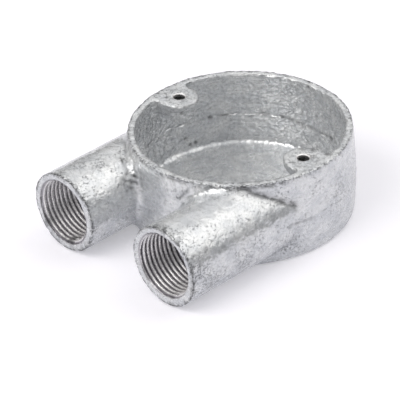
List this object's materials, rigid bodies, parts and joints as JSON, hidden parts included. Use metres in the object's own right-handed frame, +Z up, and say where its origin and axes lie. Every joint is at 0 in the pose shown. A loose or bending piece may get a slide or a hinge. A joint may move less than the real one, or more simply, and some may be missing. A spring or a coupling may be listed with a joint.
{
  "type": "conduit u box",
  "caption": "Shallow circular cast conduit box, open at the top, with two parallel threaded spouts side by side and tapped lugs inside the rim for a lid.",
  "frame": {"origin": "centre of the cup on its base plane", "axes": "+Z up out of the open cup, -Y out of the mouths of both spouts, +X from the left lid screw to the right one, left and right as seen looking into the mouths"},
  "size_m": [0.0664, 0.084, 0.0269],
  "materials": {
    "galvanised_iron": "hot-dip galvanised, light silvery grey, semi-gloss with fine pits"
  },
  "bodies": {
    "root": {"u_box": "galvanised_iron"}
  },
  "joints": []
}
